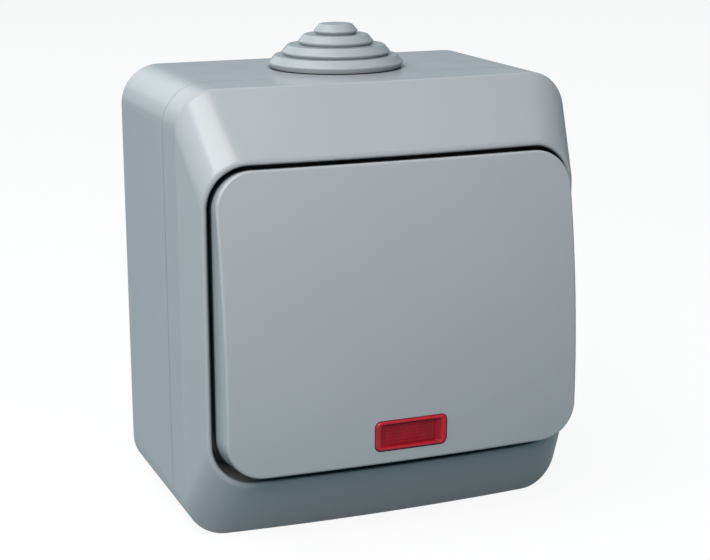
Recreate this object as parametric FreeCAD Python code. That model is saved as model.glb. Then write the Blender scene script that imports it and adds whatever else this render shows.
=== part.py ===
import FreeCAD, Part
import math
import os
from FreeCAD import Vector

os.makedirs("parts", exist_ok=True)

# Driving sizes in millimetres. Depth runs from the wall (0) towards the user, along -Y.

# Housing, rear box and front cover
housing_width = 72.0
housing_height = 78.5
corner_radius = 7.2
wall = 2.2
floor_thickness = 2.5
seam_depth = 28.8
seam_gap = 0.1
shoulder_depth = 36.8
shoulder_round = 0.3
rim_depth = 44.4
front_swell = 1.9
side_land = 3.1
end_land = 12.0
opening_radius = 6.9
side_lip = 1.1
end_lip = 0.95
lip_edge = 0.35
lip_round = 0.6
collar_wall = 1.8
deck_drop = 1.0
deck_thickness = 2.0
gasket_height = 1.5

# Rocker cap
rocker_gap = 0.4
rocker_draft = 0.2
rocker_height = 51.6
rocker_face_depth = 51.85
rocker_skirt_drop = 5.0
rocker_crown = 2.0
rocker_plan_radius = 375.0
rocker_wall = 1.8
rocker_edge_round = 0.45
pivot_depth = 37.0
half_throw = 5.1

# Indicator lens
lens_width = 13.15
lens_height = 5.3
lens_radius = 1.0
lens_drop = 20.85
lens_frame = 1.0
lens_recess = 0.5
lens_proud = 0.25
lens_clip = 0.6
lens_guide = 2.0
lens_gap = 0.15

# Cable gland
gland_depth = 16.6
gland_hole_radius = 10.0
gland_ring_radii = (12.28, 9.9, 6.88, 4.03)
gland_step = 1.85
gland_rise = 0.4
gland_skin = 1.05
gland_flange = 1.4
gland_fit = 0.1
ring_undercut = 0.45
ring_edge = 0.6
ring_bevel = 1.1
ring_round = 0.25

# Fixings
wall_hole_radius = 2.25
wall_hole_spacing = 58.0
wall_slot_length = 8.6
wall_hole_collar = 1.2
cover_screw_inset = 7.0
cover_screw_radius = 1.5
cover_screw_length = 12.0
mechanism_screw_inset = 4.0
mechanism_screw_radius = 1.2
mechanism_screw_length = 10.0
screw_head_height = 1.8
screw_clearance = 0.3
pilot_spare = 2.0

# Switch mechanism
plate_margin = 2.05
plate_height = 45.0
plate_thickness = 2.5
plate_corner = 3.0
ear_height = 8.5
ear_radius = 4.6
ear_thickness = 2.8
base_width = 22.0
base_height = 42.0
base_corner = 2.0
base_floor = 3.0
base_wall = 1.6
trunnion_radius = 2.0
running_clearance = 0.05
driver_width = 20.8
driver_height = 9.0
plunger_radius = 1.65
plunger_reach = 16.95
plunger_length = 9.45
plunger_clearance = 0.08
plunger_gap = 0.1
tube_wall = 1.2
tube_grip = 5.0
spring_length = 5.4
spring_wire = 0.22
spring_turns = 5
ridge_height = 6.0
ridge_radius = 1.0
blade_length = 23.0
blade_width = 5.0
blade_thickness = 0.9
blade_half_throw = 6.0
contact_offset = 9.5
rivet_radius = 1.6
rivet_height = 0.7
strip_thickness = 0.8
terminal_offset = 17.0
terminal_screw_radius = 1.5
terminal_screw_length = 6.0
terminal_access = 0.9
clamp_height = 8.2
clamp_window = 4.9
clamp_wall = 1.0
pocket_width = 8.4
lamp_offset = 19.0
lamp_radius = 2.0
lamp_length = 9.0
lamp_drop = 11.4
lead_width = 1.4
lead_thickness = 0.3
carrier_height = 5.6
resistor_radius = 1.1
resistor_length = 5.6
resistor_depth = 2.2
membrane_thickness = 0.8
membrane_rim = 2.0
window_margin = 3.0
socket_width = 12.2
socket_height = 5.2
socket_wall = 2.0
socket_depth = 4.5
socket_clear = 3.3
post_fit = 0.1
slack = 0.3


def at(x, depth, z):
    return Vector(x, -depth, z)


def block(x0, x1, depth0, depth1, z0, z1):
    return Part.makeBox(x1 - x0, depth1 - depth0, z1 - z0, Vector(x0, -depth1, z0))


def bar(radius, start, end):
    axis = end - start
    return Part.makeCylinder(radius, axis.Length, start, axis)


def swell(x):
    half = housing_width / 2
    radius = (half ** 2 + front_swell ** 2) / (2 * front_swell)
    return math.sqrt(radius ** 2 - x ** 2) - math.sqrt(radius ** 2 - half ** 2)


def swell_slope(x):
    half = housing_width / 2
    radius = (half ** 2 + front_swell ** 2) / (2 * front_swell)
    return -x / math.sqrt(radius ** 2 - x ** 2)


def outline(half_width, half_height, radius, depth, swelled=False):
    """Eight edges of a rounded rectangle, clockwise from the top edge, flat or on the swelled front."""
    def place(x, z):
        return at(x, depth + (swell(x) if swelled else 0.0), z)

    def through(points, first, last):
        curve = Part.BSplineCurve()
        curve.interpolate(Points=points, Parameters=[i / 6 for i in range(7)],
                          InitialTangent=first, FinalTangent=last, Scale=False)
        return curve.toShape()

    def side(x0, z0, x1, z1):
        if not swelled or x0 == x1:
            return Part.makeLine(place(x0, z0), place(x1, z1))
        run = x1 - x0
        points = [place(x0 + run * i / 6, z0) for i in range(7)]
        return through(points, at(run, swell_slope(x0) * run, 0), at(run, swell_slope(x1) * run, 0))

    def corner(cx, cz, start):
        quarter = -math.pi / 2
        angles = [math.radians(start) + quarter * i / 6 for i in range(7)]
        points = [place(cx + radius * math.cos(a), cz + radius * math.sin(a)) for a in angles]
        if not swelled:
            return Part.Arc(points[0], points[3], points[6]).toShape()
        tangents = []
        for a in (angles[0], angles[-1]):
            run = -radius * math.sin(a) * quarter
            rise = swell_slope(cx + radius * math.cos(a)) * run
            tangents.append(at(run, rise, radius * math.cos(a) * quarter))
        return through(points, tangents[0], tangents[1])

    inner_x = half_width - radius
    inner_z = half_height - radius
    return [
        side(-inner_x, half_height, inner_x, half_height),
        corner(inner_x, inner_z, 90),
        side(half_width, inner_z, half_width, -inner_z),
        corner(inner_x, -inner_z, 0),
        side(inner_x, -half_height, -inner_x, -half_height),
        corner(-inner_x, -inner_z, -90),
        side(-half_width, -inner_z, -half_width, inner_z),
        corner(-inner_x, inner_z, 180),
    ]


def rounded_block(half_width, half_height, radius, depth0, depth1):
    face = Part.Face(Part.Wire(outline(half_width, half_height, radius, depth0)))
    return face.extrude(at(0, depth1 - depth0, 0))


def ruled_faces(first, second):
    return [Part.makeRuledSurface(a, b) for a, b in zip(first, second)]


def rounded_faces(first, ridge, second):
    """Conic blends from one outline to another, shaped by the sharp ridge between them."""
    faces = []
    for edges in zip(first, ridge, second):
        if edges[0].Curve.TypeId == "Part::GeomLine":
            rows = [[v.Point for v in edge.Vertexes] for edge in edges]
            degree, knots, mults = 1, [0.0, 1.0], [2, 2]
        else:
            rows = [edge.Curve.getPoles() for edge in edges]
            curve = edges[0].Curve
            degree, knots, mults = curve.Degree, curve.getKnots(), curve.getMultiplicities()
        poles = [list(column) for column in zip(*rows)]
        weights = [[1.0, 0.8, 1.0] for column in poles]
        surface = Part.BSplineSurface()
        surface.buildFromPolesMultsKnots(poles, mults, [3, 3], knots, [0.0, 1.0], False, False,
                                         degree, 2, weights)
        faces.append(surface.toShape())
    return faces


def solid_of(faces):
    sewn = Part.Compound(faces)
    sewn.sewShape()
    solid = Part.Solid(Part.Shell(sewn.Faces))
    solid.fix(1e-4, 1e-4, 1e-3)
    return solid


def side_profile(points, x0, x1):
    """Extrudes a closed (depth, z) profile along X."""
    corners = [at(x0, depth, z) for depth, z in points]
    face = Part.Face(Part.makePolygon(corners + corners[:1]))
    return face.extrude(Vector(x1 - x0, 0, 0))


def pan_screw(radius, head_radius, seat_depth, length, x, z):
    """Pan head in front of its seat, shank behind it, with a cross recess."""
    top = seat_depth + screw_head_height
    edge = screw_head_height * 0.3
    outline_points = [(0, seat_depth - length), (radius * 0.6, seat_depth - length),
                      (radius, seat_depth - length + radius * 0.6), (radius, seat_depth),
                      (head_radius, seat_depth), (head_radius, top - edge), (head_radius - edge, top), (0, top)]
    corners = [at(x + r, depth, z) for r, depth in outline_points]
    face = Part.Face(Part.makePolygon(corners + corners[:1]))
    body = face.revolve(at(x, 0, z), Vector(0, 1, 0), 360)
    arm = head_radius * 0.55
    cross = block(x - arm, x + arm, top - edge, top + edge, z - edge / 2, z + edge / 2)
    turned = cross.copy()
    turned.rotate(at(x, 0, z), Vector(0, 1, 0), 90)
    return body.cut(cross.fuse(turned))


def soft_corner(before, corner, after, radius):
    """Start, middle and end of the arc that rounds a corner of a profile."""
    first = (before - corner).normalize()
    second = (after - corner).normalize()
    half = first.getAngle(second) / 2
    reach = radius / math.tan(half)
    inward = (first + second).normalize()
    return (corner + first * reach, corner + inward * (radius / math.sin(half) - radius),
            corner + second * reach)


def tipped(shape, angle=-half_throw, depth=pivot_depth):
    """Turns a piece about a horizontal pivot at the given depth."""
    turned = shape.copy()
    turned.rotate(at(0, depth, 0), Vector(1, 0, 0), angle)
    return turned


half_width = housing_width / 2
half_height = housing_height / 2
box_front = seam_depth - seam_gap / 2
cover_back = seam_depth + seam_gap / 2
opening_x = half_width - side_land
opening_z = half_height - end_land
lip_share = 1 - lip_edge / end_lip
deck_depth = pivot_depth - deck_drop
deck_back = deck_depth - deck_thickness
rocker_back_depth = pivot_depth + rocker_skirt_drop
lamp_depth = rocker_face_depth - lamp_drop
plate_depth = pivot_depth - ear_height
plate_back = plate_depth - plate_thickness
ridge_depth = (pivot_depth - plunger_reach - plunger_gap - blade_thickness
               - running_clearance - ridge_radius)
strip_depth = ridge_depth - ridge_height
base_back = strip_depth - base_floor
boss_radius = cover_screw_radius * 2.3
post_radius = mechanism_screw_radius * 2.4
cover_screw_x = half_width - cover_screw_inset
plate_x = cover_screw_x - boss_radius - plate_margin
mechanism_screw_x = plate_x - mechanism_screw_inset
wall_hole_z = wall_hole_spacing / 2
lead_x = lamp_length / 2 + lead_width / 2 + slack


def wall_slot(grow, z, depth0, depth1):
    """Upright slot with round ends for a wall screw."""
    radius = wall_hole_radius + grow
    reach = wall_slot_length / 2 - wall_hole_radius
    form = block(-radius, radius, depth0, depth1, z - reach, z + reach)
    for end in (z - reach, z + reach):
        form = form.fuse(bar(radius, at(0, depth0, end), at(0, depth1, end)))
    return form.removeSplitter()


def make_rear_box():
    body = rounded_block(half_width, half_height, corner_radius, 0, box_front)
    body = body.cut(rounded_block(half_width - wall, half_height - wall, corner_radius - wall,
                                  floor_thickness, box_front + 1))
    step = wall / 2
    body = body.cut(rounded_block(half_width - step, half_height - step, corner_radius - step,
                                  box_front - gasket_height, box_front + 1))
    for sign in (-1, 1):
        x = sign * cover_screw_x
        body = body.fuse(bar(boss_radius, at(x, floor_thickness / 2, 0), at(x, deck_back, 0)))
        web = half_width - wall / 2 - cover_screw_x
        inner = min(x, x + sign * web)
        body = body.fuse(block(inner, inner + web, floor_thickness / 2, box_front - gasket_height - 1,
                               -step / 2, step / 2))
        x = sign * mechanism_screw_x
        body = body.fuse(bar(post_radius, at(x, floor_thickness / 2, 0), at(x, plate_back, 0)))
        body = body.fuse(wall_slot(wall_hole_radius, sign * wall_hole_z, floor_thickness / 2,
                                   floor_thickness + wall_hole_collar))
    for sign in (-1, 1):
        x = sign * cover_screw_x
        body = body.cut(bar(cover_screw_radius + running_clearance,
                            at(x, deck_depth - cover_screw_length - pilot_spare, 0), at(x, deck_depth, 0)))
        x = sign * mechanism_screw_x
        body = body.cut(bar(mechanism_screw_radius + running_clearance,
                            at(x, plate_depth - mechanism_screw_length - pilot_spare, 0),
                            at(x, plate_depth, 0)))
        body = body.cut(wall_slot(0, sign * wall_hole_z, -1, floor_thickness + 2 * wall_hole_collar))
    top = half_height - wall - 1
    body = body.cut(bar(gland_hole_radius, at(0, gland_depth, top), at(0, gland_depth, half_height + 1)))
    groove = bar(gland_hole_radius, at(0, gland_depth, -half_height - 1),
                 at(0, gland_depth, -half_height + wall * 0.4))
    groove = groove.cut(bar(gland_hole_radius - 0.8, at(0, gland_depth, -half_height - 1),
                            at(0, gland_depth, -half_height + wall)))
    return body.cut(groove).removeSplitter()


def make_front_cover():
    foot = (half_width, half_height, corner_radius, shoulder_depth)
    crest = (opening_x + side_lip, opening_z + end_lip, opening_radius + end_lip, rim_depth)
    mouth = (opening_x, opening_z, opening_radius, rim_depth)
    middle = [a + (b - a) * lip_share for a, b in zip(mouth, crest)]
    slope = math.dist(foot, crest)

    def swelled(size):
        return outline(*size, True)

    def along_slope(share):
        return swelled([a + (b - a) * share for a, b in zip(foot, crest)])

    def behind(size, distance):
        return swelled(size[:3] + (size[3] - distance,))

    seam = outline(half_width, half_height, corner_radius, cover_back)
    wall_end = behind(foot, shoulder_round)
    slope_start = along_slope(shoulder_round / slope)
    slope_end = along_slope(1 - lip_edge / slope)
    lip_end = behind(mouth, lip_round)
    throat = outline(opening_x, opening_z, opening_radius, cover_back)
    faces = ruled_faces(seam, wall_end) + rounded_faces(wall_end, swelled(foot), slope_start)
    faces += ruled_faces(slope_start, slope_end) + rounded_faces(slope_end, swelled(crest), swelled(middle))
    faces += rounded_faces(swelled(middle), swelled(mouth), lip_end) + ruled_faces(lip_end, throat)
    faces.append(Part.Face([Part.Wire(seam), Part.Wire(throat)]))
    body = solid_of(faces)

    # Hollows behind the upper and the lower slope.
    fall = half_height - opening_z - end_lip
    rise = rim_depth - shoulder_depth
    length = math.hypot(fall, rise)
    lean = rise / fall
    start_depth = shoulder_depth - wall * fall / length
    start_z = half_height - wall * rise / length
    low_z = opening_z + collar_wall
    high_z = half_height - wall
    hollow = [
        (cover_back - 1, low_z),
        (cover_back - 1, high_z),
        (start_depth + (start_z - high_z) * lean, high_z),
        (start_depth + (start_z - low_z) * lean, low_z),
    ]
    reach = half_width - corner_radius - wall / 2
    pocket = side_profile(hollow, -reach, reach)
    mirrored = side_profile([(depth, -z) for depth, z in hollow], -reach, reach)
    body = body.cut(pocket).cut(mirrored)

    # Deck under the rocker, with a window for the driver and the lamp.
    deck = rounded_block(opening_x + side_lip / 2, opening_z + collar_wall / 2, opening_radius,
                         deck_back, deck_depth)
    deck = deck.cut(window_block(0, deck_back - 1, deck_depth + 1))
    for sign in (-1, 1):
        x = sign * cover_screw_x
        deck = deck.cut(bar(cover_screw_radius + screw_clearance, at(x, deck_back - 1, 0),
                            at(x, deck_depth + 1, 0)))
    return body.fuse(deck).removeSplitter()


window_x = driver_width / 2 + ear_thickness + window_margin
window_top = ear_radius + 2 * membrane_rim + membrane_thickness + 2 * slack
window_bottom = lamp_offset + carrier_height / 2 + membrane_rim + membrane_thickness


def window_block(grow, depth0, depth1):
    return block(-window_x - grow, window_x + grow, depth0, depth1,
                 -window_bottom - grow, window_top + grow)


def make_cover_gasket():
    outer = wall / 2
    ring = rounded_block(half_width - outer, half_height - outer, corner_radius - outer,
                         box_front - gasket_height, cover_back)
    return ring.cut(rounded_block(half_width - wall, half_height - wall, corner_radius - wall,
                                  box_front - gasket_height - 1, cover_back + 1))


def make_cover_screws():
    screws = [pan_screw(cover_screw_radius, cover_screw_radius * 1.9, deck_depth, cover_screw_length,
                        sign * cover_screw_x, 0) for sign in (-1, 1)]
    return Part.Compound(screws)


def make_cable_gland():
    """Stepped soft gland: cut-off rings of falling size with bevelled edges, hollow from below."""
    def spot(radius, level):
        return at(radius, gland_depth, half_height + level)

    neck = gland_hole_radius - gland_fit
    bore = gland_ring_radii[1] - ring_undercut - gland_skin
    below = -wall - gland_flange
    path = [spot(bore, below), spot(gland_hole_radius + gland_flange, below),
            spot(gland_hole_radius + gland_flange, below + gland_flange * 0.6), spot(neck, -wall - gland_fit),
            spot(neck, gland_fit)]
    edges = [Part.makeLine(a, b) for a, b in zip(path, path[1:])]
    level = gland_fit
    last = path[-1]
    for i, radius in enumerate(gland_ring_radii):
        top = gland_rise + gland_step * (i + 1)
        foot = spot(radius - ring_undercut, level)
        tip = spot(radius, top - gland_step + ring_edge)
        brow = spot(radius - ring_bevel, top)
        low, nose, high = soft_corner(foot, tip, brow, ring_round)
        start, bend, end = soft_corner(tip, brow, spot(0, top), ring_round)
        edges += [Part.makeLine(last, foot), Part.makeLine(foot, low), Part.Arc(low, nose, high).toShape(),
                  Part.makeLine(high, start), Part.Arc(start, bend, end).toShape()]
        last = end
        level = top
    edges.append(Part.makeLine(last, spot(0, level)))
    hollow = [spot(0, level - gland_skin)]
    for i in (3, 2, 1):
        inner = gland_ring_radii[i] - ring_undercut - gland_skin
        top = gland_rise + gland_step * (i + 1) - gland_skin
        hollow += [spot(inner, top), spot(inner, top - gland_step)]
    hollow[-1] = spot(bore, below)
    hollow.insert(0, spot(0, level))
    edges += [Part.makeLine(a, b) for a, b in zip(hollow, hollow[1:])]
    face = Part.Face(Part.Wire(edges))
    return face.revolve(at(0, gland_depth, 0), Vector(0, 0, 1), 360)


crown_radius = ((rocker_height / 2) ** 2 + rocker_crown ** 2) / (2 * rocker_crown)
rocker_x = opening_x - rocker_gap
rocker_z = rocker_height / 2


def crown_block(face_depth, drop):
    """Everything behind the doubly curved face of the rocker."""
    radius = crown_radius - drop
    reach = housing_height
    dip = radius - math.sqrt(radius ** 2 - (reach / 2) ** 2)
    arc = Part.Arc(at(0, face_depth - dip, -reach / 2), at(0, face_depth, 0),
                   at(0, face_depth - dip, reach / 2)).toShape()
    rest = Part.makePolygon([at(0, face_depth - dip, reach / 2), at(0, 0, reach / 2),
                             at(0, 0, -reach / 2), at(0, face_depth - dip, -reach / 2)])
    face = Part.Face(Part.Wire([arc] + rest.Edges))
    axis = at(0, face_depth - rocker_plan_radius, 0)
    spread = 2 * math.degrees(math.asin(housing_width * 0.6 / rocker_plan_radius))
    face.rotate(axis, Vector(0, 0, 1), -spread / 2)
    return face.revolve(axis, Vector(0, 0, 1), spread)


def rocker_form(inset, face_depth, back_depth):
    """Tapered rocker body inside the given inset, closed by the crowned face."""
    front_depth = rocker_face_depth + 2
    taper = rocker_draft
    radius = opening_radius - rocker_gap - inset
    rear = Part.Wire(outline(rocker_x - inset, rocker_z + taper - inset, radius, back_depth))
    front = Part.Wire(outline(rocker_x - taper - inset, rocker_z - inset, radius, front_depth))
    body = Part.makeLoft([rear, front], True, True)
    return body.common(crown_block(face_depth, rocker_face_depth - face_depth))


def lens_local(shape):
    """Moves a piece drawn on the wall plane onto the rocker's face at the lens."""
    dip = crown_radius - math.sqrt(crown_radius ** 2 - lens_drop ** 2)
    moved = shape.copy()
    moved.rotate(Vector(0, 0, 0), Vector(1, 0, 0), math.degrees(math.asin(lens_drop / crown_radius)))
    moved.translate(at(0, rocker_face_depth - dip, -lens_drop))
    return moved


socket_x = socket_width / 2
socket_z = socket_height / 2
socket_front = rocker_face_depth - rocker_wall - socket_clear
socket_back = socket_front - socket_depth


def make_rocker_cap():
    outer = rocker_form(0, rocker_face_depth, rocker_back_depth)
    front = [e for e in outer.Edges if -e.BoundBox.YMin > rocker_face_depth - rocker_crown - 1.6
             and -e.BoundBox.YMax > rocker_back_depth + 1]
    outer = outer.makeFillet(rocker_edge_round, front)
    body = outer.cut(rocker_form(rocker_wall, rocker_face_depth - rocker_wall, rocker_back_depth - 1))
    inside = rocker_form(rocker_wall / 2, rocker_face_depth - rocker_wall / 2, socket_back)
    post = block(-socket_x + post_fit, socket_x - post_fit, socket_back + post_fit, rocker_face_depth,
                 -socket_z + post_fit, socket_z - post_fit)
    rib_back = rocker_face_depth - 2 * rocker_wall - rocker_crown
    ribs = []
    for sign in (-1, 1):
        x = sign * opening_x * 0.55
        ribs.append(block(x - rocker_wall / 3, x + rocker_wall / 3, rib_back, rocker_face_depth,
                          -rocker_z, rocker_z))
    body = body.multiFuse([inside.common(part) for part in [post] + ribs])
    hole = rounded_block(lens_width / 2 + lens_gap, lens_height / 2 + lens_gap, lens_radius + lens_gap,
                         -3 * rocker_wall, rocker_wall)
    return body.cut(lens_local(hole)).removeSplitter()


def make_indicator_lens():
    """Framed lens with a sunk field and a light guide that steps out behind the face."""
    x = lens_width / 2
    z = lens_height / 2
    back = -rocker_wall - lens_guide
    body = rounded_block(x, z, lens_radius, back, lens_proud)
    rim = [e for e in body.Edges if -e.BoundBox.YMax > lens_proud - 1e-6]
    body = body.makeFillet(lens_proud, rim)
    floor_x = x - lens_frame - lens_recess
    floor_z = z - lens_frame - lens_recess * 0.6
    upper = outline(x - lens_frame, z - lens_frame, lens_radius * 0.6, lens_proud + 0.01)
    lower = outline(floor_x, floor_z, lens_radius * 0.4, lens_proud - lens_recess)
    field = Part.makeLoft([Part.Wire(lower), Part.Wire(upper)], True, True)
    guide = block(-x - lens_clip, x + lens_clip, back, -rocker_wall - slack, -z / 2, z / 2)
    shell = lens_frame + lens_recess
    hollow = rounded_block(x - shell, z - shell, lens_radius * 0.4, back - 1, -rocker_wall)
    return lens_local(body.cut(field).fuse(guide).cut(hollow).removeSplitter())


ear_inner = driver_width / 2 + slack
tube_radius = plunger_radius + plunger_clearance + tube_wall
tube_end = pivot_depth - plunger_reach + tube_grip
bore_end = pivot_depth - plunger_reach + plunger_length + spring_length + plunger_clearance


def make_rocker_driver():
    """Cradle on two trunnions: socket for the cap in front, plunger tube behind."""
    x = driver_width / 2
    z = driver_height / 2
    body = block(-x, x, pivot_depth - trunnion_radius * 1.3, pivot_depth + trunnion_radius * 1.7,
                 -z * 0.75, z * 0.75)
    body = body.fuse(bar(trunnion_radius, at(-x - ear_thickness - slack, pivot_depth, 0),
                         at(x + ear_thickness + slack, pivot_depth, 0)))
    body = body.fuse(block(-socket_x - socket_wall, socket_x + socket_wall, pivot_depth, socket_front, -z, z))
    body = body.fuse(bar(tube_radius, at(0, tube_end, 0), at(0, pivot_depth + trunnion_radius, 0)))
    body = body.cut(block(-socket_x, socket_x, socket_back, socket_front + 1, -socket_z, socket_z))
    bore = bar(plunger_radius + plunger_clearance, at(0, tube_end - 1, 0), at(0, bore_end, 0))
    return body.cut(bore).removeSplitter()


def make_plunger():
    tip = pivot_depth - plunger_reach
    centre = at(0, tip + plunger_radius, 0)
    body = bar(plunger_radius, centre, at(0, tip + plunger_length, 0))
    return body.fuse(Part.makeSphere(plunger_radius, centre)).removeSplitter()


def make_plunger_spring():
    """Coil of flat-sided wire."""
    start = pivot_depth - plunger_reach + plunger_length + spring_wire + 0.03
    height = spring_length - 2 * spring_wire - 0.06
    radius = plunger_radius - spring_wire - 0.05
    path = Part.Wire(Part.makeHelix(height / spring_turns, height, radius).Edges)
    corners = [Vector(radius + u * spring_wire, 0, v * spring_wire)
               for u, v in ((-1, -1), (1, -1), (1, 1), (-1, 1))]
    coil = path.makePipeShell([Part.makePolygon(corners + corners[:1])], True, True)
    coil.rotate(Vector(0, 0, 0), Vector(1, 0, 0), 90)
    coil.translate(at(0, start, 0))
    return coil


def make_mechanism_plate():
    """Front plate with two pivot ears, a slot for the plunger tube and screw openings."""
    x = plate_x
    z = plate_height / 2
    body = rounded_block(x, z, plate_corner, plate_back, plate_depth)
    for sign in (-1, 1):
        inner = ear_inner if sign > 0 else -ear_inner - ear_thickness
        ear = block(inner, inner + ear_thickness, plate_depth - plate_thickness / 2, pivot_depth,
                    -ear_radius, ear_radius)
        ear = ear.fuse(bar(ear_radius, at(inner, pivot_depth, 0), at(inner + ear_thickness, pivot_depth, 0)))
        body = body.fuse(ear)
    body = body.cut(bar(trunnion_radius + running_clearance, at(-x, pivot_depth, 0), at(x, pivot_depth, 0)))
    swing = (pivot_depth - plate_back) * math.sin(math.radians(half_throw)) + tube_radius + 2 * slack
    slot_x = tube_radius + 2 * slack
    body = body.cut(block(-slot_x, slot_x, plate_back - 1, plate_depth + 1, -swing, swing))
    for sign in (-1, 1):
        screw_x = sign * mechanism_screw_x
        body = body.cut(bar(mechanism_screw_radius + screw_clearance, at(screw_x, plate_back - 1, 0),
                            at(screw_x, plate_depth + 1, 0)))
        screw_z = sign * terminal_offset
        body = body.cut(bar(terminal_screw_radius + terminal_access, at(0, plate_back - 1, screw_z),
                            at(0, plate_depth + 1, screw_z)))
        body = body.cut(lead_block(sign, slack / 2, plate_back - 1, plate_depth + 1))
    return body.removeSplitter()


def lead_block(sign, grow, depth0, depth1):
    x = sign * lead_x
    across = lead_width / 2 + grow
    return block(x - across, x + across, depth0, depth1,
                 -lamp_offset - lead_thickness / 2 - grow, -lamp_offset + lead_thickness / 2 + grow)


chamber_x = blade_width * 0.9
chamber_z = blade_length / 2 + 5 * slack
pocket_x = pocket_width / 2
pocket_inner = chamber_z + base_wall
pocket_outer = base_height / 2 - base_wall


def make_mechanism_base():
    """Moulded base: contact chamber in the middle, a terminal pocket above and below it."""
    body = rounded_block(base_width / 2, base_height / 2, base_corner, base_back, plate_back)
    body = body.cut(block(-chamber_x, chamber_x, strip_depth, plate_back + 1, -chamber_z, chamber_z))
    stop_z = blade_length / 2 - blade_thickness
    stop_depth = ridge_depth + ridge_radius - stop_z * math.tan(math.radians(blade_half_throw)) - slack
    body = body.fuse(block(-chamber_x - slack, chamber_x + slack, strip_depth - slack, stop_depth - slack,
                           -chamber_z - slack, -stop_z))
    for sign in (-1, 1):
        near = sign * pocket_inner
        far = sign * pocket_outer
        low, high = min(near, far), max(near, far)
        body = body.cut(block(-pocket_x, pocket_x, base_back + base_wall, plate_back + 1, low, high))
        outlet = sign * (base_height / 2 + 1)
        low, high = min(far, outlet), max(far, outlet)
        body = body.cut(block(-blade_width / 2, blade_width / 2, strip_depth + strip_thickness,
                              strip_depth + clamp_window - slack, low - base_wall, high + base_wall))
        start = sign * (chamber_z - 2 * base_wall)
        low, high = min(near, start), max(near, start)
        body = body.cut(block(-blade_width / 2 - running_clearance, blade_width / 2 + running_clearance,
                              strip_depth - running_clearance, strip_depth + strip_thickness + running_clearance,
                              low - slack, high + slack))
        body = body.cut(lead_block(sign, slack / 2, plate_back - plate_thickness, plate_back + 1))
    return body.removeSplitter()


def make_common_terminal():
    """Strip with the ridge that the contact blade tilts on."""
    x = blade_width / 2
    body = block(-x, x, strip_depth, strip_depth + strip_thickness, -pocket_outer + slack, 3 * ridge_radius)
    body = body.fuse(block(-x, x, strip_depth, ridge_depth, -ridge_radius * 0.7, ridge_radius * 0.7))
    return body.fuse(bar(ridge_radius, at(-x, ridge_depth, 0), at(x, ridge_depth, 0))).removeSplitter()


def closed_rivet_depth():
    turn = math.radians(blade_half_throw)
    lift = ridge_radius + running_clearance - rivet_height
    reach = contact_offset + rivet_radius
    return ridge_depth + lift * math.cos(turn) - reach * math.sin(turn) - running_clearance


def make_fixed_terminal():
    """Strip bent up to the fixed contact."""
    x = blade_width / 2
    tab = closed_rivet_depth() - rivet_height
    riser = contact_offset + rivet_radius + slack
    body = block(-x, x, tab - strip_thickness, tab, contact_offset - rivet_radius - slack,
                 riser + strip_thickness)
    body = body.fuse(block(-x, x, strip_depth, tab, riser, riser + strip_thickness))
    return body.fuse(block(-x, x, strip_depth, strip_depth + strip_thickness, riser,
                           pocket_outer - slack)).removeSplitter()


def make_fixed_rivet():
    seat = closed_rivet_depth() - rivet_height
    return bar(rivet_radius, at(0, seat, contact_offset), at(0, seat + rivet_height, contact_offset))


def make_contact_blade():
    """Flat blade with a shallow seat for the plunger."""
    x = blade_width / 2
    z = blade_length / 2
    back = ridge_depth + ridge_radius + running_clearance
    body = block(-x, x, back, back + blade_thickness, -z, z)
    upright = [e for e in body.Edges if e.BoundBox.YLength > blade_thickness * 0.9]
    body = body.makeFillet(blade_width / 4, upright)
    return tipped(body, blade_half_throw, ridge_depth)


def make_moving_rivet():
    back = ridge_depth + ridge_radius + running_clearance
    rivet = bar(rivet_radius, at(0, back - rivet_height, contact_offset), at(0, back, contact_offset))
    return tipped(rivet, blade_half_throw, ridge_depth)


def make_terminal_clamps():
    """Two brass cages, each with a window for strip and conductor and a threaded hole."""
    cages = []
    back = strip_depth - clamp_wall
    for sign in (-1, 1):
        near = sign * (pocket_inner + slack)
        far = sign * (pocket_outer - slack)
        low, high = min(near, far), max(near, far)
        cage = block(-pocket_x + slack, pocket_x - slack, back, back + clamp_height, low, high)
        cage = cage.cut(block(-blade_width / 2 - slack / 2, blade_width / 2 + slack / 2, strip_depth - slack / 2,
                              strip_depth - slack / 2 + clamp_window, low - 1, high + 1))
        hole_z = sign * terminal_offset
        cage = cage.cut(bar(terminal_screw_radius + running_clearance, at(0, strip_depth + slack, hole_z),
                            at(0, back + clamp_height + 1, hole_z)))
        cages.append(cage)
    return Part.Compound(cages)


def make_terminal_screws():
    seat = strip_depth - clamp_wall + clamp_height + pilot_spare
    screws = [pan_screw(terminal_screw_radius, terminal_screw_radius * 1.35, seat, terminal_screw_length,
                        0, sign * terminal_offset) for sign in (-1, 1)]
    return Part.Compound(screws)


def make_mechanism_screws():
    screws = [pan_screw(mechanism_screw_radius, mechanism_screw_radius * 1.9, plate_depth,
                        mechanism_screw_length, sign * mechanism_screw_x, 0) for sign in (-1, 1)]
    return Part.Compound(screws)


carrier_x = lead_x + lead_width / 2 + 2 * slack
carrier_front = lamp_depth - slack


def make_lamp_carrier():
    """Plug-in holder with a cradle for the lamp and a pocket for its resistor."""
    z = -lamp_offset
    half = carrier_height / 2
    body = block(-carrier_x, carrier_x, plate_depth, carrier_front, z - half, z + half)
    body = body.cut(bar(lamp_radius + slack / 2, at(-lamp_length / 2 - slack, lamp_depth, z),
                        at(lamp_length / 2 + slack, lamp_depth, z)))
    room = resistor_radius + slack
    middle = plate_depth + resistor_depth
    body = body.cut(block(-resistor_length / 2 - slack, resistor_length / 2 + slack, middle - room, middle + room,
                          z - half - 1, z + room))
    body = body.cut(bar(terminal_screw_radius + terminal_access, at(0, plate_depth - 1, -terminal_offset),
                        at(0, plate_depth + base_wall, -terminal_offset)))
    for sign in (-1, 1):
        body = body.cut(lead_block(sign, slack / 2, plate_depth - 1, carrier_front + 1))
    return body.removeSplitter()


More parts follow.
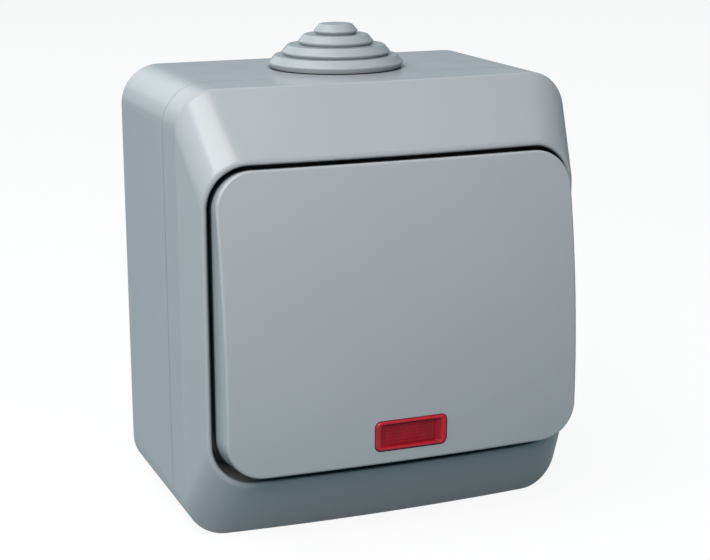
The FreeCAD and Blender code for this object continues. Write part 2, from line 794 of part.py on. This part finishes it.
def capped_rod(radius, half_length, depth, z):
    """Short round body along X with bevelled ends."""
    bevel = radius * 0.4
    profile = [(-half_length, 0), (-half_length, radius - bevel), (-half_length + bevel, radius),
               (half_length - bevel, radius), (half_length, radius - bevel), (half_length, 0)]
    corners = [at(x, depth, z + r) for x, r in profile]
    face = Part.Face(Part.makePolygon(corners + corners[:1]))
    return face.revolve(at(0, depth, z), Vector(1, 0, 0), 360)


def make_neon_lamp():
    return capped_rod(lamp_radius, lamp_length / 2, lamp_depth, -lamp_offset)


def make_lamp_resistor():
    return capped_rod(resistor_radius, resistor_length / 2, plate_depth + resistor_depth, -lamp_offset)


def make_lamp_leads():
    """Two flat leads from the lamp's ends to the base."""
    leads = [lead_block(sign, 0, plate_back - plate_thickness + slack, lamp_depth - 2 * slack) for sign in (-1, 1)]
    return Part.Compound(leads)


def make_rocker_membrane():
    """Soft seal on the deck: a boot round the driver and a bonnet over the lamp."""
    seat = deck_depth
    skin = membrane_thickness
    sheet = window_block(membrane_rim, seat, seat + skin)
    boot_x = ear_inner + ear_thickness + 3 * slack
    boot_z = ear_radius + membrane_rim
    boot_top = pivot_depth + ear_radius + 3 * slack
    boot = block(-boot_x - skin, boot_x + skin, seat, boot_top + skin, -boot_z - skin, boot_z + skin)
    bonnet_x = carrier_x + 2 * slack
    bonnet_top = lamp_depth + lamp_radius + 2 * slack
    z0 = -lamp_offset - carrier_height / 2 - 2 * slack
    z1 = -lamp_offset + carrier_height / 2 + 2 * slack
    bonnet = block(-bonnet_x - skin, bonnet_x + skin, seat, bonnet_top + skin, z0 - skin, z1 + skin)
    body = sheet.fuse(boot).fuse(bonnet)
    crests = [e for e in body.Edges if -e.BoundBox.YMax > seat + skin + 1e-3]
    body = body.makeFillet(skin * 0.9, crests)
    body = body.cut(block(-boot_x, boot_x, seat - 1, boot_top, -boot_z, boot_z))
    body = body.cut(block(-bonnet_x, bonnet_x, seat - 1, bonnet_top, z0, z1))
    neck_x = socket_x + socket_wall + slack
    sway = (boot_top + skin - pivot_depth) * math.sin(math.radians(half_throw))
    neck_z = driver_height / 2 + sway + slack
    neck = block(-neck_x, neck_x, boot_top - skin, boot_top + 2 * skin, -neck_z, neck_z)
    return body.cut(neck).removeSplitter()


pieces = {
    "rear_box": make_rear_box(),
    "front_cover": make_front_cover(),
    "cover_gasket": make_cover_gasket(),
    "cover_screws": make_cover_screws(),
    "cable_gland": make_cable_gland(),
    "rocker_cap": tipped(make_rocker_cap()),
    "indicator_lens": tipped(make_indicator_lens()),
    "rocker_driver": tipped(make_rocker_driver()),
    "plunger": tipped(make_plunger()),
    "plunger_spring": tipped(make_plunger_spring()),
    "rocker_membrane": make_rocker_membrane(),
    "mechanism_plate": make_mechanism_plate(),
    "mechanism_base": make_mechanism_base(),
    "mechanism_screws": make_mechanism_screws(),
    "common_terminal": make_common_terminal(),
    "fixed_terminal": make_fixed_terminal(),
    "fixed_rivet": make_fixed_rivet(),
    "contact_blade": make_contact_blade(),
    "moving_rivet": make_moving_rivet(),
    "terminal_clamps": make_terminal_clamps(),
    "terminal_screws": make_terminal_screws(),
    "lamp_carrier": make_lamp_carrier(),
    "neon_lamp": make_neon_lamp(),
    "lamp_resistor": make_lamp_resistor(),
    "lamp_leads": make_lamp_leads(),
}

for name, shape in pieces.items():
    shape.exportStep("parts/" + name + ".step")
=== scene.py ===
import bpy
import bmesh
from math import radians
from mathutils import Matrix, Vector


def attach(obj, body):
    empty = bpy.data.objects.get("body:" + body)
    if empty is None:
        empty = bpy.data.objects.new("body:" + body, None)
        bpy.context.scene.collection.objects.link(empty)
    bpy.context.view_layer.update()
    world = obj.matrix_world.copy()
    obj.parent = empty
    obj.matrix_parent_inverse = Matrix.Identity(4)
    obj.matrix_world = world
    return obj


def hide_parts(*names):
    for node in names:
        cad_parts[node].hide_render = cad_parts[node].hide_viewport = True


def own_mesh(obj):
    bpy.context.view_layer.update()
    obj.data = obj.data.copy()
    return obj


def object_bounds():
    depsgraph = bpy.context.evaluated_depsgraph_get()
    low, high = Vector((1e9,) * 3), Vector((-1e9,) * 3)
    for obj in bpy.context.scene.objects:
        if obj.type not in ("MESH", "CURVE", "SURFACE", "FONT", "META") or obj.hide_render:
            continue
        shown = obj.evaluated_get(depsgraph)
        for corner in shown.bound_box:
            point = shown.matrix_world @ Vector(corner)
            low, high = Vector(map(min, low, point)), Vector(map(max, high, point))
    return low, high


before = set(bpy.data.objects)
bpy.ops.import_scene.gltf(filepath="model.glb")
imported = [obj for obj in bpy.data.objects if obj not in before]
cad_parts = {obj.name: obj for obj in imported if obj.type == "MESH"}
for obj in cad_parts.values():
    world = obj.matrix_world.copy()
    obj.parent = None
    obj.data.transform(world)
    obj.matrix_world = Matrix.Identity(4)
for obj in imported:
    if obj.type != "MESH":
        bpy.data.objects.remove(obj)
cad_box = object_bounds()
bpy.ops.object.select_all(action="DESELECT")
scene = bpy.context.scene
scene.view_settings.view_transform = "Standard"

MM = 0.001

# Painted shade in gaps: an occlusion node darkens the colour towards a dark tint. Given here:
# how far it looks for a neighbour, the openness where the painted shade is full and the
# openness where it ends. It also fades out between two heights, towards the lower rim.
CASE_GAPS = (4.5 * MM, 0.36, 0.82)
GLAND_GAPS = (1.6 * MM, 0.0, 0.38)
PAINTED_SHADE_TINT = (0.05, 0.09, 0.10)
PAINTED_SHADE_FADES_BELOW = -29.5 * MM
PAINTED_SHADE_ENDS_AT = -33.5 * MM

GREY = (0.389, 0.404, 0.421)
GLAND_GREY = (0.362, 0.384, 0.403)
SEAL_BLACK = (0.035, 0.036, 0.038)
CREAM = (0.62, 0.58, 0.50)
NYLON_WHITE = (0.72, 0.72, 0.70)
GLASS_CREAM = (0.75, 0.70, 0.62)
RESISTOR_TAN = (0.55, 0.42, 0.27)
ZINC = (0.60, 0.61, 0.62)
BRASS = (0.72, 0.50, 0.22)
SILVER = (0.82, 0.81, 0.78)
TIN = (0.70, 0.70, 0.70)
FRAME_REDS = ((0.42, 0.012, 0.026), (0.50, 0.016, 0.034))
FIELD_REDS = ((0.27, 0.006, 0.014), (0.35, 0.009, 0.020))

# The noise textures' useful range, spread over a tone or a gloss.
NOISE_LOW = 0.3
NOISE_HIGH = 0.7
FINE_GRAIN = 0.02 * MM
POLISHED_GRAIN = 0.01 * MM

# The rocker is stored tipped about its pivot.
PIVOT = Matrix.Translation((0, -37.0 * MM, 0))
TIP = PIVOT @ Matrix.Rotation(radians(-5.1), 4, "X") @ PIVOT.inverted()

# Indicator lens: drawn on the wall plane, then laid on the tipped rocker's crowned face.
LENS_SEAT = (TIP @ Matrix.Translation((0, -50.547 * MM, -20.85 * MM))
             @ Matrix.Rotation(radians(7.155), 4, "X"))
LENS_SIZE = (13.15 * MM, 1.9 * MM, 5.3 * MM)
LENS_MIDDLE = 1.05 * MM
LENS_CORNER = 1.0 * MM
FRAME_ROUNDING = ((0.05, 0.16), (0.09, 0.11), (0.12, 0.07), (0.12, 0.01), (0.02, 0.0))
FRAME_ENDS_WIDER = (0.935, 1.0, 1.0)
FIELD_ROUNDING = ((0.08, -0.03), (0.06, -0.08), (0.04, -0.12))
FIELD_SINK = 0.40 * MM
FIELD_TAPER = (0.83, 1.0, 0.913)
FIELD_REACH = (5.6 * MM, 2.1 * MM)
GUIDE_INSET = 0.7 * MM
GUIDE_LENGTH = 1.5 * MM

PRISM_COLUMNS = 15
PRISM_ROWS = 6
PRISM_HEIGHT = 0.12 * MM
PRISM_SHEET = (9.1 * MM, 3.7 * MM, 1.0)
PRISM_SEAT = 0.34 * MM
SHEET_THICKNESS = 0.4 * MM

# Plunger spring: a coil between the plunger and the closed end of its tube.
WIRE_RADIUS = 0.22 * MM
COIL_RADIUS = 1.38 * MM
COIL_TURNS = 5
COIL_PITCH = 0.98 * MM
COIL_START = -29.75 * MM
COIL_SEAT = (TIP @ Matrix.Translation((0, COIL_START, 0))
             @ Matrix.Rotation(radians(90), 4, "X"))

SMOOTH_BELOW = radians(40)


def new_material(name):
    mat = bpy.data.materials.new(name)
    mat.use_nodes = True
    tree = mat.node_tree
    tree.nodes.clear()
    out = tree.nodes.new("ShaderNodeOutputMaterial")
    shader = tree.nodes.new("ShaderNodeBsdfPrincipled")
    tree.links.new(shader.outputs["BSDF"], out.inputs["Surface"])
    place = tree.nodes.new("ShaderNodeTexCoord")
    return mat, tree, shader, place


def noise(tree, vector, scale, detail):
    node = tree.nodes.new("ShaderNodeTexNoise")
    node.inputs["Scale"].default_value = scale
    node.inputs["Detail"].default_value = detail
    tree.links.new(vector, node.inputs["Vector"])
    return node.outputs["Fac"]


def uneven_gloss(tree, shader, source, low, high):
    node = tree.nodes.new("ShaderNodeMapRange")
    node.inputs["From Min"].default_value = NOISE_LOW
    node.inputs["From Max"].default_value = NOISE_HIGH
    node.inputs["To Min"].default_value = low
    node.inputs["To Max"].default_value = high
    tree.links.new(source, node.inputs["Value"])
    tree.links.new(node.outputs["Result"], shader.inputs["Roughness"])


def two_tones(tree, source, first, second):
    node = tree.nodes.new("ShaderNodeValToRGB")
    node.color_ramp.elements[0].position = NOISE_LOW
    node.color_ramp.elements[0].color = (*first, 1)
    node.color_ramp.elements[1].position = NOISE_HIGH
    node.color_ramp.elements[1].color = (*second, 1)
    tree.links.new(source, node.inputs["Fac"])
    return node.outputs["Color"]


def grain_bump(tree, shader, source, strength, height):
    node = tree.nodes.new("ShaderNodeBump")
    node.inputs["Strength"].default_value = strength
    node.inputs["Distance"].default_value = height
    tree.links.new(source, node.inputs["Height"])
    tree.links.new(node.outputs["Normal"], shader.inputs["Normal"])


def crevice_painted_shade(tree, place, unshaded_colour, shade_colour, reach, closed, open_air):
    """Painted shade: darkens the colour in narrow gaps and undercuts by occlusion, but not at
    the lower rim.
    """
    shelter = tree.nodes.new("ShaderNodeAmbientOcclusion")
    shelter.samples = 16
    shelter.inputs["Distance"].default_value = reach
    share = tree.nodes.new("ShaderNodeMapRange")
    share.interpolation_type = "SMOOTHSTEP"
    share.inputs["From Min"].default_value = closed
    share.inputs["From Max"].default_value = open_air
    tree.links.new(shelter.outputs["AO"], share.inputs["Value"])
    axes = tree.nodes.new("ShaderNodeSeparateXYZ")
    tree.links.new(place.outputs["Object"], axes.inputs["Vector"])
    rim = tree.nodes.new("ShaderNodeMapRange")
    rim.inputs["From Min"].default_value = PAINTED_SHADE_FADES_BELOW
    rim.inputs["From Max"].default_value = PAINTED_SHADE_ENDS_AT
    tree.links.new(axes.outputs["Z"], rim.inputs["Value"])
    unshaded_share = tree.nodes.new("ShaderNodeMath")
    unshaded_share.operation = "MAXIMUM"
    tree.links.new(share.outputs["Result"], unshaded_share.inputs[0])
    tree.links.new(rim.outputs["Result"], unshaded_share.inputs[1])
    # The mix node's colour sockets share their names with its number sockets: 6 is A, 7 is B.
    blend = tree.nodes.new("ShaderNodeMix")
    blend.data_type = "RGBA"
    blend.inputs[6].default_value = (*shade_colour, 1)
    tree.links.new(unshaded_share.outputs["Value"], blend.inputs[0])
    tree.links.new(unshaded_colour, blend.inputs[7])
    return blend.outputs[2]


def moulded_plastic(name, colour, roughness, grain=2600.0, strength=0.12, shine=0.5,
                    gaps=CASE_GAPS):
    """Moulded plastic: faint cloudiness in the colour, painted shade in gaps, uneven gloss and
    a fine eroded grain.
    """
    mat, tree, shader, place = new_material(name)
    surface = place.outputs["Object"]
    shader.inputs["Specular IOR Level"].default_value = shine
    darker = [c * 0.985 for c in colour]
    lighter = [min(1.0, c * 1.01) for c in colour]
    unshaded_colour = two_tones(tree, noise(tree, surface, 55.0, 3.0), darker, lighter)
    # Painted shade: the colour darkens to this tint in gaps and undercuts.
    shade_colour = [c * d for c, d in zip(colour, PAINTED_SHADE_TINT)]
    shaded_colour = crevice_painted_shade(tree, place, unshaded_colour, shade_colour, *gaps)
    tree.links.new(shaded_colour, shader.inputs["Base Color"])
    patches = noise(tree, surface, 120.0, 4.0)
    uneven_gloss(tree, shader, patches, roughness - 0.03, roughness + 0.03)
    grain_bump(tree, shader, noise(tree, surface, grain, 2.0), strength, FINE_GRAIN)
    return mat


def bare_metal(name, colour, roughness):
    """Drawn or turned metal with fine streaks."""
    mat, tree, shader, place = new_material(name)
    stretch = tree.nodes.new("ShaderNodeMapping")
    stretch.inputs["Scale"].default_value = (1.0, 1.0, 0.12)
    tree.links.new(place.outputs["Object"], stretch.inputs["Vector"])
    streaks = noise(tree, stretch.outputs["Vector"], 900.0, 3.0)
    tones = two_tones(tree, streaks, [c * 0.9 for c in colour], colour)
    tree.links.new(tones, shader.inputs["Base Color"])
    shader.inputs["Metallic"].default_value = 1.0
    uneven_gloss(tree, shader, streaks, roughness - 0.06, roughness + 0.06)
    grain_bump(tree, shader, streaks, 0.1, POLISHED_GRAIN)
    return mat


def clear_red(name, reds, shine):
    """Red lens moulding with faint depth in its colour and a polished skin."""
    mat, tree, shader, place = new_material(name)
    surface = place.outputs["Object"]
    shader.inputs["Specular IOR Level"].default_value = shine
    clouds = noise(tree, surface, 400.0, 2.0)
    tree.links.new(two_tones(tree, clouds, *reds), shader.inputs["Base Color"])
    uneven_gloss(tree, shader, clouds, 0.16, 0.22)
    grain_bump(tree, shader, noise(tree, surface, 1800.0, 1.0), 0.05, POLISHED_GRAIN)
    return mat


finish = {
    "grey_plastic": moulded_plastic("grey_plastic_case", GREY, 0.17, 2600.0, 0.03, 0.38),
    "gland_rubber": moulded_plastic("grey_rubber_gland", GLAND_GREY, 0.18, 1800.0, 0.04, 0.42,
                                    GLAND_GAPS),
    "lens_red": clear_red("red_lens_frame", FRAME_REDS, 0.40),
    "seal_rubber": moulded_plastic("dark_seal_rubber", SEAL_BLACK, 0.62, 1500.0, 0.3),
    "insulator": moulded_plastic("cream_insulator", CREAM, 0.45),
    "plunger_plastic": moulded_plastic("white_nylon", NYLON_WHITE, 0.42),
    "steel": bare_metal("zinc_plated_steel", ZINC, 0.32),
    "brass": bare_metal("brass", BRASS, 0.30),
    "contact_silver": bare_metal("silver_contact", SILVER, 0.25),
    "lamp_glass": moulded_plastic("lamp_glass", GLASS_CREAM, 0.15, 900.0, 0.05),
    "resistor_body": moulded_plastic("tan_resistor", RESISTOR_TAN, 0.5),
    "lead_metal": bare_metal("tinned_lead", TIN, 0.30),
}
red_field = clear_red("red_lens_field", FIELD_REDS, 0.22)

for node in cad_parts.values():
    slot_name = node.material_slots[0].material.name.split(".")[0]
    node.material_slots[0].material = finish[slot_name]


def pick_faces(piece, wanted):
    """Selects the faces whose centre and normal pass the test."""
    bpy.ops.mesh.select_mode(type="FACE")
    bpy.ops.mesh.select_all(action="DESELECT")
    form = bmesh.from_edit_mesh(piece.data)
    for face in form.faces:
        face.select_set(wanted(face.calc_center_median(), face.normal))
    form.select_flush_mode()
    bmesh.update_edit_mesh(piece.data)


def pick_edges(piece, wanted):
    """Selects the edges whose two ends pass the test."""
    bpy.ops.mesh.select_mode(type="EDGE")
    bpy.ops.mesh.select_all(action="DESELECT")
    form = bmesh.from_edit_mesh(piece.data)
    for edge in form.edges:
        edge.select_set(wanted(edge.verts[0].co, edge.verts[1].co))
    form.select_flush_mode()
    bmesh.update_edit_mesh(piece.data)


def inset_steps(steps):
    """Rounds the selected face's edge by insets, each given as inward and outward in mm."""
    for inward, outward in steps:
        bpy.ops.mesh.inset(thickness=inward * MM, depth=outward * MM)


def push(distance):
    """Extrudes the selected faces towards the wall."""
    bpy.ops.mesh.extrude_region_move(TRANSFORM_OT_translate={"value": (0, distance, 0)})


def seat_on_rocker(piece, name, seat):
    """Lays a piece drawn at the origin in its seat, and lets it move with the rocker."""
    piece.name = name
    piece.data.name = name
    piece.matrix_world = seat
    bpy.ops.object.select_all(action="DESELECT")
    piece.select_set(True)
    bpy.context.view_layer.objects.active = piece
    bpy.ops.object.transform_apply(location=True, rotation=True, scale=True)
    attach(piece, "rocker")


def make_lens_frame():
    """Rounded frame, sunk field with sloping ends, and a light guide behind."""
    bpy.ops.mesh.primitive_cube_add(size=1.0, location=(0, LENS_MIDDLE, 0))
    piece = bpy.context.active_object
    piece.scale = LENS_SIZE
    bpy.ops.object.transform_apply(location=True, rotation=True, scale=True)
    piece.data.materials.append(finish["lens_red"])
    piece.data.materials.append(red_field)
    bpy.ops.object.mode_set(mode="EDIT")
    pick_edges(piece, lambda a, b: abs(a.y - b.y) > LENS_SIZE[1] / 2)
    bpy.ops.mesh.bevel(offset=LENS_CORNER, segments=7, profile=0.5)
    pick_faces(piece, lambda centre, normal: normal.y < -0.9)
    inset_steps(FRAME_ROUNDING)
    bpy.ops.transform.resize(value=FRAME_ENDS_WIDER, center_override=(0, 0, 0))
    inset_steps(FIELD_ROUNDING)
    push(FIELD_SINK)
    bpy.ops.transform.resize(value=FIELD_TAPER, center_override=(0, 0, 0))
    pick_faces(piece, lambda centre, normal: centre.y > 0.0 and normal.y < -0.05
               and abs(centre.x) < FIELD_REACH[0] and abs(centre.z) < FIELD_REACH[1])
    piece.active_material_index = 1
    bpy.ops.object.material_slot_assign()
    pick_faces(piece, lambda centre, normal: normal.y > 0.9)
    bpy.ops.mesh.inset(thickness=GUIDE_INSET)
    push(GUIDE_LENGTH)
    bpy.ops.object.mode_set(mode="OBJECT")
    bpy.ops.object.shade_smooth_by_angle(angle=SMOOTH_BELOW)
    seat_on_rocker(piece, "lens_frame", LENS_SEAT)
    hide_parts("indicator_lens")


def make_lens_field():
    """Sheet of small pressed prisms on the floor of the sunk field."""
    bpy.ops.mesh.primitive_grid_add(x_subdivisions=PRISM_COLUMNS, y_subdivisions=PRISM_ROWS,
                                    size=1.0, location=(0, PRISM_SEAT, 0),
                                    rotation=(radians(90), 0, 0))
    piece = bpy.context.active_object
    piece.scale = PRISM_SHEET
    bpy.ops.object.transform_apply(location=True, rotation=True, scale=True)
    piece.data.materials.append(red_field)
    bpy.ops.object.mode_set(mode="EDIT")
    bpy.ops.mesh.select_all(action="SELECT")
    bpy.ops.mesh.poke(offset=PRISM_HEIGHT)
    bpy.ops.object.mode_set(mode="OBJECT")
    sheet = piece.modifiers.new("sheet", "SOLIDIFY")
    sheet.thickness = SHEET_THICKNESS
    sheet.offset = -1.0
    bpy.ops.object.modifier_apply(modifier=sheet.name)
    seat_on_rocker(piece, "lens_field", LENS_SEAT)


def make_plunger_spring():
    """Coil behind the plunger. The real spring shortens as the plunger is pushed in; this one
    moves with the rocker unchanged.
    """
    bpy.ops.mesh.primitive_circle_add(vertices=10, radius=WIRE_RADIUS,
                                      location=(COIL_RADIUS, 0, 0),
                                      rotation=(radians(90), 0, 0))
    piece = bpy.context.active_object
    bpy.ops.object.transform_apply(location=True, rotation=True, scale=True)
    turns = piece.modifiers.new("turns", "SCREW")
    turns.axis = "Z"
    turns.iterations = COIL_TURNS
    turns.screw_offset = COIL_PITCH
    turns.steps = turns.render_steps = 24
    bpy.ops.object.modifier_apply(modifier=turns.name)
    bpy.ops.object.mode_set(mode="EDIT")
    bpy.ops.mesh.select_all(action="SELECT")
    bpy.ops.mesh.fill_holes(sides=0)
    bpy.ops.mesh.select_all(action="SELECT")
    bpy.ops.mesh.normals_make_consistent(inside=False)
    bpy.ops.object.mode_set(mode="OBJECT")
    bpy.ops.object.shade_smooth_by_angle(angle=SMOOTH_BELOW)
    piece.data.materials.append(finish["steel"])
    seat_on_rocker(piece, "plunger_coil", COIL_SEAT)
    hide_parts("plunger_spring")
    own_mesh(piece)


make_lens_frame()
make_lens_field()
make_plunger_spring()


def make_camera():
    """Camera at the photograph's viewing angle."""
    camera = bpy.data.objects.new("camera", bpy.data.cameras.new("camera"))
    scene.collection.objects.link(camera)
    right = Vector((0.927890, -0.372852, -0.000756))
    up = Vector((0.089711, 0.221288, 0.971073))
    back = Vector((-0.361900, -0.901117, 0.238780))
    turn = Matrix((right, up, back)).transposed()
    stand = Matrix.Translation((-0.109498, -0.309707, 0.077580))
    camera.matrix_world = stand @ turn.to_4x4()
    camera.data.sensor_fit = "HORIZONTAL"
    camera.data.sensor_width = 36.0
    camera.data.lens = 87.151
    camera.data.shift_x = -0.03240
    camera.data.shift_y = -0.01110
    camera.data.clip_start = 0.01
    scene.camera = camera


def soft_lamp(name, direction, distance, size, power, tint=(1.0, 1.0, 1.0)):
    """Round area lamp that looks at the object from the given direction."""
    lamp = bpy.data.objects.new(name, bpy.data.lights.new(name, "AREA"))
    scene.collection.objects.link(lamp)
    lamp.data.shape = "DISK"
    lamp.data.size = size
    lamp.data.energy = power
    lamp.data.color = tint
    lamp.location = Vector(direction).normalized() * distance
    lamp.rotation_euler = Vector(direction).to_track_quat("Z", "Y").to_euler()


def seen_share(tree, mirrored_share):
    """1 for what the camera sees straight or through glass, less for what it sees mirrored."""
    rays = tree.nodes.new("ShaderNodeLightPath")
    mirrored = tree.nodes.new("ShaderNodeMath")
    mirrored.operation = "MULTIPLY"
    mirrored.inputs[1].default_value = mirrored_share
    tree.links.new(rays.outputs["Is Glossy Ray"], mirrored.inputs[0])
    first = tree.nodes.new("ShaderNodeMath")
    first.operation = "MAXIMUM"
    tree.links.new(rays.outputs["Is Camera Ray"], first.inputs[0])
    tree.links.new(mirrored.outputs["Value"], first.inputs[1])
    seen = tree.nodes.new("ShaderNodeMath")
    seen.operation = "MAXIMUM"
    tree.links.new(first.outputs["Value"], seen.inputs[0])
    tree.links.new(rays.outputs["Is Transmission Ray"], seen.inputs[1])
    return seen.outputs["Value"]


def either_shader(tree, share, unseen, seen):
    node = tree.nodes.new("ShaderNodeMixShader")
    tree.links.new(share, node.inputs["Fac"])
    tree.links.new(unseen, node.inputs[1])
    tree.links.new(seen, node.inputs[2])
    return node.outputs["Shader"]


def make_world():
    """White surround for the camera, and a weak cool ambient light, stronger from the left."""
    world = bpy.data.worlds.new("studio")
    scene.world = world
    world.use_nodes = True
    tree = world.node_tree
    tree.nodes.clear()
    out = tree.nodes.new("ShaderNodeOutputWorld")
    ambient = tree.nodes.new("ShaderNodeBackground")
    ambient.inputs["Color"].default_value = (0.57, 0.86, 1.0, 1)
    heading = tree.nodes.new("ShaderNodeTexCoord")
    sides = tree.nodes.new("ShaderNodeSeparateXYZ")
    tree.links.new(heading.outputs["Generated"], sides.inputs["Vector"])
    fade = tree.nodes.new("ShaderNodeMapRange")
    fade.inputs["From Min"].default_value = -1.0
    fade.inputs["From Max"].default_value = 1.0
    fade.inputs["To Min"].default_value = 0.43
    fade.inputs["To Max"].default_value = 0.20
    tree.links.new(sides.outputs["X"], fade.inputs["Value"])
    tree.links.new(fade.outputs["Result"], ambient.inputs["Strength"])
    white = tree.nodes.new("ShaderNodeBackground")
    white.inputs["Color"].default_value = (1, 1, 1, 1)
    surround = either_shader(tree, seen_share(tree, 0.15), ambient.outputs["Background"],
                             white.outputs["Background"])
    tree.links.new(surround, out.inputs["Surface"])


def make_floor():
    """Pale floor just under the object that keeps a faint shadow."""
    bpy.ops.mesh.primitive_plane_add(size=6.0, location=(0, 0, cad_box[0][2] - 0.02 * MM))
    floor = bpy.context.active_object
    floor.name = "floor"
    mat = bpy.data.materials.new("pale_floor")
    mat.use_nodes = True
    tree = mat.node_tree
    tree.nodes.clear()
    out = tree.nodes.new("ShaderNodeOutputMaterial")
    matt = tree.nodes.new("ShaderNodeBsdfDiffuse")
    matt.inputs["Color"].default_value = (0.14, 0.22, 0.25, 1)
    pale = tree.nodes.new("ShaderNodeBsdfDiffuse")
    pale.inputs["Color"].default_value = (0.95, 0.95, 0.95, 1)
    glow = tree.nodes.new("ShaderNodeEmission")
    lifted = tree.nodes.new("ShaderNodeMixShader")
    lifted.inputs["Fac"].default_value = 0.90
    tree.links.new(pale.outputs["BSDF"], lifted.inputs[1])
    tree.links.new(glow.outputs["Emission"], lifted.inputs[2])
    surface = either_shader(tree, seen_share(tree, 0.3), matt.outputs["BSDF"],
                            lifted.outputs["Shader"])
    tree.links.new(surface, out.inputs["Surface"])
    floor.data.materials.append(mat)


make_camera()
soft_lamp("key_light", (-0.36, -0.70, 0.62), 0.60, 0.42, 2.68, (1.0, 0.86, 0.81))
soft_lamp("left_light", (-0.62, -0.08, 0.77), 0.60, 0.60, 1.28)
soft_lamp("back_light", (-0.35, 0.60, 0.72), 0.60, 0.90, 1.15)
soft_lamp("back_panel", (-0.20, 0.93, 0.30), 0.80, 0.55, 0.20)
soft_lamp("fill_light", (-0.48, -0.62, 0.62), 0.60, 0.36, 0.60, (0.60, 0.97, 1.0))
make_world()
make_floor()
